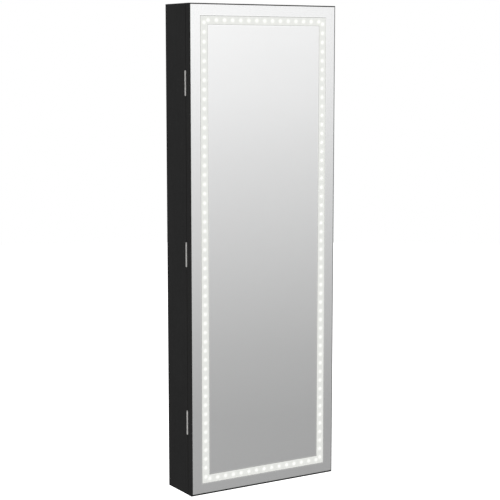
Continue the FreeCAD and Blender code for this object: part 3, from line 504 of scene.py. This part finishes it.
def cell_finish(c):
    """Shrink sleeve with a brighter band round the upper half."""
    material, tree = new_finish("cell_sleeve")
    low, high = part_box("battery_cells")
    level = put(tree, "SeparateXYZ", {"Vector": local(tree)}).outputs["Z"]
    part = between(tree, level, 0.0, 1.0, low.z, high.z)
    crease = grain(tree, local(tree, (1, 1, 0.2)), 240.0, 3.0)
    base = tuple(c.cell)
    dark = shade(base, 0.7)
    coated(tree, Metallic=0.6, Roughness=between(tree, crease, 0.24, 0.40),
           Base_Color=ramp(tree, part, (0.0, dark), (0.30, dark), (0.34, base), (1.0, base)),
           Normal=raised(tree, crease, 0.00008, 0.3))
    return material


# Ring rolls
def roll_section(depth, radius):
    """Half-round profile, from the bottom of the flat back round the nose and back: (forward, up)."""
    body = depth - radius
    points = [(body * k / FLAT_STEPS, -radius) for k in range(FLAT_STEPS)]
    for k in range(NOSE_STEPS + 1):
        turn = math.pi * (k / NOSE_STEPS - 0.5)
        points.append((body + radius * math.cos(turn), radius * math.sin(turn)))
    points += [(body * (FLAT_STEPS - 1 - k) / FLAT_STEPS, radius) for k in range(FLAT_STEPS)]
    return points + [(0.0, radius * (1 - 2 * k / BACK_STEPS)) for k in range(1, BACK_STEPS)]


def roll_blank(name, x0, x1, back, depth, middle, radius, seed):
    """A limp roll before it is stuffed, with rounded ends."""
    section = roll_section(depth, radius)
    bm = bmesh.new()
    rows = []
    for i in range(STATIONS + 1):
        x = x0 + (x1 - x0) * (0.5 - 0.5 * math.cos(math.pi * i / STATIONS))
        end = min(1.0, min(x - x0, x1 - x) / (radius * END_LENGTH))
        size = math.sqrt(max(0.0, 1 - (1 - end) ** 2)) * (1 - END_SIZE) + END_SIZE
        row = []
        for forward, up in section:
            spot = Vector((x, back - forward * (END_DEPTH + (1 - END_DEPTH) * size), middle + up * size))
            wave = noise.noise(Vector((x * WAVES_ALONG, up * WAVES_ROUND, seed * WAVE_APART))) * WAVE
            spot.y -= wave if forward > 0 else 0
            row.append(bm.verts.new(spot))
        rows.append(row)
    count = len(section)
    for a, b in zip(rows, rows[1:]):
        for k in range(count):
            bm.faces.new((a[k], a[(k + 1) % count], b[(k + 1) % count], b[k]))
    bm.faces.new(rows[0][::-1])
    bm.faces.new(rows[-1])
    bmesh.ops.recalc_face_normals(bm, faces=bm.faces)
    mesh = bpy.data.meshes.new(name)
    bm.to_mesh(mesh)
    bm.free()
    piece = bpy.data.objects.new(name, mesh)
    bpy.context.scene.collection.objects.link(piece)
    return piece


def take_shape(piece):
    """Put what the modifiers give into the mesh itself, and drop them."""
    shown = piece.evaluated_get(bpy.context.evaluated_depsgraph_get())
    made = bpy.data.meshes.new_from_object(shown)
    if not made.polygons:
        raise RuntimeError(piece.name + " came out empty")
    piece.modifiers.clear()
    piece.data = made


def stuff(piece, r, back):
    """Swell the velvet with a short cloth run, at a larger size, glued along the board."""
    remesh = piece.modifiers.new("Cells", "REMESH")
    remesh.mode, remesh.voxel_size = "VOXEL", r.voxel
    take_shape(piece)
    limp = [v.co.copy() for v in piece.data.vertices]
    glued = piece.vertex_groups.new(name="glued")
    glued.add([i for i, co in enumerate(limp) if co.y > back - GLUE_DEPTH], 1.0, "REPLACE")
    for v in piece.data.vertices:
        v.co = v.co * RUN_SIZE
    cloth = piece.modifiers.new("Stuffing", "CLOTH")
    s = cloth.settings
    s.quality, s.mass, s.bending_stiffness = 6, 0.25, 0.4
    s.tension_stiffness = s.compression_stiffness = 12
    s.use_pressure, s.uniform_pressure_force = True, r.pressure
    s.vertex_group_mass = "glued"
    s.effector_weights.gravity = 0
    cloth.point_cache.frame_start, cloth.point_cache.frame_end = 1, RUN_STEPS
    scene = bpy.context.scene
    for step in range(1, RUN_STEPS + 1):
        scene.frame_set(step)
    take_shape(piece)
    scene.frame_set(1)
    for v, old in zip(piece.data.vertices, limp):
        move = v.co / RUN_SIZE - old
        v.co = old + move * min(1.0, r.swell / max(move.length, 1e-9))


def gather_ends(piece, x0, x1, back, middle, depth, pleat):
    """Small gathers where the velvet is tucked in at the ends."""
    for v in piece.data.vertices:
        near = min(v.co.x - x0, x1 - v.co.x)
        turn = math.atan2(v.co.z - middle, back - depth * GATHER_MIDDLE - v.co.y)
        fade = math.exp(-max(near, 0.0) / GATHER_REACH)
        free = min(1.0, max(0.0, (back - v.co.y) / GATHER_FREE))
        pull = pleat * fade * free * math.cos(GATHERS * turn)
        v.co.z += pull * math.sin(turn)
        v.co.y -= pull * math.cos(turn)


# Operators
class CABINET_OT_boards(bpy.types.Operator):
    """Black facing on the case and the door, hardboard back, beech dowels"""
    bl_idname = "cabinet.boards"
    bl_label = "Boards"

    def execute(self, context):
        c = context.scene.cabinet_finishes
        dress("case_side_left case_side_right case_top case_bottom bay_divider shelf_lower shelf_middle "
              "shelf_upper hanging_rail_top hanging_rail_bottom necklace_rail door_stile_hinge "
              "door_stile_lock door_rail_top door_rail_bottom door_inner_panel", laminate_finish(c))
        dress("case_back", hardboard_finish(c))
        dress("case_dowels door_corner_splines", beech_finish(c))
        return {"FINISHED"}


class CABINET_OT_linings(bpy.types.Operator):
    """Flocked card behind the jewelry"""
    bl_idname = "cabinet.linings"
    bl_label = "Linings"

    def execute(self, context):
        c = context.scene.cabinet_finishes
        dress("lining_board ring_board", pile_finish("flocked_card", tuple(c.flock), 1700.0, 0.00015, 0.35))
        return {"FINISHED"}


class CABINET_OT_ring_rolls(bpy.types.Operator):
    """Velvet rolls, stuffed and glued to their board"""
    bl_idname = "cabinet.ring_rolls"
    bl_label = "Ring rolls"

    def execute(self, context):
        r = context.scene.cabinet_rolls
        velvet = pile_finish("velvet", tuple(context.scene.cabinet_finishes.velvet), 1500.0, 0.00022, 0.8)
        pitch = (ROLLS_HIGH.z - ROLLS_LOW.z + r.gap) / r.count
        depth = ROLLS_HIGH.y - ROLLS_LOW.y - r.slack
        radius = (pitch - r.gap) / 2 - r.slack
        x0, x1, back = ROLLS_LOW.x + r.slack, ROLLS_HIGH.x - r.slack, ROLLS_HIGH.y
        for i in range(r.count):
            middle = ROLLS_LOW.z - r.gap / 2 + pitch * (i + 0.5)
            piece = roll_blank("ring_roll_%d" % (i + 1), x0, x1, back, depth, middle, radius, i)
            stuff(piece, r, back)
            gather_ends(piece, x0, x1, back, middle, depth, r.pleat)
            soft = piece.modifiers.new("Soft", "SUBSURF")
            soft.levels = soft.render_levels = 1
            take_shape(piece)
            piece.data.polygons.foreach_set("use_smooth", [True] * len(piece.data.polygons))
            piece.data.materials.append(velvet)
            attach(piece, "case")
            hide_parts("ring_rolls")
        return {"FINISHED"}


class CABINET_OT_fittings(bpy.types.Operator):
    """Hooks, rods, earring bars and sockets inside the case"""
    bl_idname = "cabinet.fittings"
    bl_label = "Fittings"

    def execute(self, context):
        c = context.scene.cabinet_finishes
        rods = metal_finish("nickel_rods", tuple(c.nickel), 0.30, 0.14, (0.08, 1, 1))
        dress("shelf_guard_rods bracelet_rod necklace_hooks", rods)
        dress("earring_bars earring_posts", acrylic_finish(c))
        dress("bracelet_sockets", moulded_finish("socket_plastic", tuple(c.plastic), 0.40))
        return {"FINISHED"}


class CABINET_OT_hinges(bpy.types.Operator):
    """Leaves, pins and screws of the three hinges, and the other screws"""
    bl_idname = "cabinet.hinges"
    bl_label = "Hinges and screws"

    def execute(self, context):
        c = context.scene.cabinet_finishes
        leaves = "".join(" hinge_%s_leaf_%s" % (side, place) for side in ("case", "door")
                         for place in ("upper", "middle", "lower"))
        satin = shade(tuple(c.nickel), 0.95)
        dress("hinge_pins" + leaves, metal_finish("hinge_nickel", satin, 0.54, 0.42, (1, 1, 0.1), 0.35))
        dress("case_hinge_screws", metal_finish("screw_nickel", tuple(c.nickel), 0.40, 0.24, (1, 1, 1)))
        dress("back_screws door_screws", metal_finish("screw_zinc", tuple(c.zinc), 0.50, 0.32, (1, 1, 1)))
        return {"FINISHED"}


class CABINET_OT_mirror(bpy.types.Operator):
    """Clear pane and the silvering behind it"""
    bl_idname = "cabinet.mirror"
    bl_label = "Mirror"

    def execute(self, context):
        m = context.scene.cabinet_mirror
        dress("mirror_glass", glass_finish(m))
        dress("mirror_silvering", silver_finish(m))
        return {"FINISHED"}


class CABINET_OT_light(bpy.types.Operator):
    """Frosted band with its light spots, and the tape, chips and leads behind it"""
    bl_idname = "cabinet.light"
    bl_label = "Light"

    def execute(self, context):
        m = context.scene.cabinet_mirror
        dress("frosted_band", band_finish(m))
        dress("led_tape", tape_finish(m))
        dress("led_chips", chip_finish(m))
        dress("led_leads", moulded_finish("lead_sleeve", (0.02, 0.02, 0.021), 0.42, 2600.0, 0.00003))
        return {"FINISHED"}


class CABINET_OT_battery_box(bpy.types.Operator):
    """Battery box with its cover, cells, contacts and switch"""
    bl_idname = "cabinet.battery_box"
    bl_label = "Battery box"

    def execute(self, context):
        c = context.scene.cabinet_finishes
        dress("battery_box battery_cover", moulded_finish("box_plastic", tuple(c.plastic), 0.46))
        dress("switch_body", moulded_finish("switch_plastic", shade(tuple(c.plastic), 1.4), 0.36))
        dress("switch_button", moulded_finish("button_plastic", tuple(c.button), 0.28, 1800.0, 0.00004))
        dress("battery_cells", cell_finish(c))
        dress("battery_contacts", metal_finish("contact_plate", tuple(c.nickel), 0.42, 0.26, (1, 0.2, 1)))
        return {"FINISHED"}


class CABINET_OT_catches(bpy.types.Operator):
    """Magnetic catches with their strikes, and the door's rubber bumpers"""
    bl_idname = "cabinet.catches"
    bl_label = "Catches"

    def execute(self, context):
        c = context.scene.cabinet_finishes
        dress("catch_housings", moulded_finish("catch_plastic", tuple(c.plastic), 0.38))
        dress("catch_magnets", moulded_finish("ground_magnet", tuple(c.ferrite), 0.50, 900.0, 0.00005))
        dress("catch_strikes", metal_finish("strike_zinc", tuple(c.zinc), 0.46, 0.28, (1, 1, 0.1)))
        dress("door_bumpers", moulded_finish("milky_rubber", tuple(c.rubber), 0.34, 2200.0, 0.00003))
        return {"FINISHED"}


class CABINET_OT_lock(bpy.types.Operator):
    """Cam lock in the right side, and its keeper on the door"""
    bl_idname = "cabinet.lock"
    bl_label = "Lock"

    def execute(self, context):
        c = context.scene.cabinet_finishes
        dress("lock_barrel lock_plug", metal_finish("lock_nickel", tuple(c.nickel), 0.28, 0.12, (1, 1, 1)))
        dress("lock_nut lock_cam cam_screw lock_keeper",
              metal_finish("lock_zinc", tuple(c.zinc), 0.48, 0.30, (1, 0.1, 1)))
        return {"FINISHED"}


def lamp(name, place, aim, size, watts):
    """Square soft box. The mirror shows the room and not the box."""
    data = bpy.data.lights.new(name, "AREA")
    data.shape, data.size, data.energy = "SQUARE", size, watts
    piece = bpy.data.objects.new(name, data)
    piece.location = place
    piece.rotation_euler = (Vector(aim) - Vector(place)).to_track_quat("-Z", "Y").to_euler()
    piece.visible_glossy = False
    bpy.context.scene.collection.objects.link(piece)


def studio_world(s):
    """White to the camera; what shines sees a room that darkens downward, to both sides and behind."""
    world = bpy.data.worlds.new("studio")
    bpy.context.scene.world = world
    world.use_nodes = True
    tree = world.node_tree
    tree.nodes.clear()
    way = put(tree, "SeparateXYZ", {"Vector": put(tree, "TexCoord").outputs["Generated"]})
    height = between(tree, way.outputs["Z"], 0.0, 1.0, *ROOM_HEIGHT)
    room = ramp(tree, height, *[(at, (tone, tone, tone)) for at, tone in ROOM_TONES])
    right = between(tree, way.outputs["X"], *ROOM_RIGHT)
    left = between(tree, way.outputs["X"], *ROOM_LEFT)
    behind = between(tree, way.outputs["Y"], *ROOM_BEHIND)
    rays = put(tree, "LightPath")
    even = put(tree, "Background", {"Color": (1, 1, 1, 1), "Strength": s.ambient}).outputs[0]
    around = sums(tree, "MULTIPLY", sums(tree, "MULTIPLY", left, right), behind)
    bright = sums(tree, "MULTIPLY", around, s.room)
    shown = put(tree, "Background", {"Color": room, "Strength": bright}).outputs[0]
    white = put(tree, "Background", {"Color": (1, 1, 1, 1), "Strength": 1.0}).outputs[0]
    shiny = sums(tree, "MAXIMUM", rays.outputs["Is Glossy Ray"], rays.outputs["Is Transmission Ray"])
    lit = put(tree, "MixShader", {0: shiny, 1: even, 2: shown}).outputs[0]
    mixed = put(tree, "MixShader", {0: rays.outputs["Is Camera Ray"], 1: lit, 2: white}).outputs[0]
    put(tree, "OutputWorld", {"Surface": mixed})


def floor_finish():
    """Pale floor that takes the shadow and is white to the camera elsewhere."""
    material, tree = new_finish("pale_floor")
    rays = put(tree, "LightPath")
    dust = grain(tree, local(tree), 3.0, 3.0)
    pale = put(tree, "BsdfDiffuse", {"Color": ramp(tree, dust, (0.3, (0.80, 0.80, 0.80)),
                                                   (0.7, (0.84, 0.84, 0.84)))}).outputs[0]
    far = put(tree, "VectorMath", {0: local(tree)}, operation="LENGTH").outputs["Value"]
    glare = sums(tree, "MULTIPLY", rays.outputs["Is Camera Ray"], between(tree, far, 0.45, 1.0, 0.6, 2.2))
    white = put(tree, "Emission", {"Color": (1, 1, 1, 1), "Strength": glare}).outputs[0]
    surface(tree, put(tree, "AddShader", {0: pale, 1: white}).outputs[0])
    return material


class CABINET_OT_stage(bpy.types.Operator):
    """Floor, lamps, white studio and the camera"""
    bl_idname = "cabinet.stage"
    bl_label = "Stage"

    def execute(self, context):
        s = context.scene.cabinet_stage
        context.scene.view_settings.view_transform = "Standard"
        studio_world(s)
        bm = bmesh.new()
        bmesh.ops.create_circle(bm, cap_ends=True, segments=96, radius=FLOOR_RADIUS)
        mesh = bpy.data.meshes.new("floor")
        bm.to_mesh(mesh)
        bm.free()
        floor = bpy.data.objects.new("floor", mesh)
        floor.location.z = CAD_BOX[0][2] - s.floor_drop
        floor.visible_glossy = floor.visible_transmission = False
        mesh.materials.append(floor_finish())
        context.scene.collection.objects.link(floor)
        for name, (place, aim, size) in LAMPS.items():
            lamp(name + "_lamp", place, aim, size, getattr(s, name))
        data = bpy.data.cameras.new("camera")
        data.sensor_fit, data.sensor_width, data.lens = "HORIZONTAL", 36.0, s.lens
        data.clip_start, data.clip_end = 0.05, 60.0
        camera = bpy.data.objects.new("camera", data)
        camera.location = s.eye
        camera.rotation_euler = (math.pi / 2 - s.tilt, 0, -s.yaw)
        context.scene.collection.objects.link(camera)
        context.scene.camera = camera
        return {"FINISHED"}


class CABINET_PT_panel(bpy.types.Panel):
    """Sidebar list of the cabinet's pieces"""
    bl_idname = "CABINET_PT_panel"
    bl_label = "Jewelry cabinet"
    bl_space_type = "VIEW_3D"
    bl_region_type = "UI"
    bl_category = "Cabinet"

    def draw(self, context):
        for step in STEPS:
            self.layout.operator(step.bl_idname)
        for name in GROUPS:
            group = getattr(context.scene, name)
            for key in group.__annotations__:
                self.layout.prop(group, key)


GROUPS = {"cabinet_finishes": CabinetFinishes, "cabinet_mirror": CabinetMirror, "cabinet_rolls": CabinetRolls,
          "cabinet_stage": CabinetStage}
STEPS = (CABINET_OT_boards, CABINET_OT_linings, CABINET_OT_ring_rolls, CABINET_OT_fittings, CABINET_OT_hinges,
         CABINET_OT_mirror, CABINET_OT_light, CABINET_OT_battery_box, CABINET_OT_catches, CABINET_OT_lock,
         CABINET_OT_stage)


def register():
    for made in (*GROUPS.values(), *STEPS, CABINET_PT_panel):
        bpy.utils.register_class(made)
    for name, made in GROUPS.items():
        setattr(bpy.types.Scene, name, PointerProperty(type=made))


def unregister():
    for name in GROUPS:
        delattr(bpy.types.Scene, name)
    for made in (CABINET_PT_panel, *STEPS[::-1], *list(GROUPS.values())[::-1]):
        bpy.utils.unregister_class(made)


def main():
    register()
    for step in STEPS:
        group, name = step.bl_idname.split(".")
        getattr(getattr(bpy.ops, group), name)()


if __name__ == "__main__":
    main()
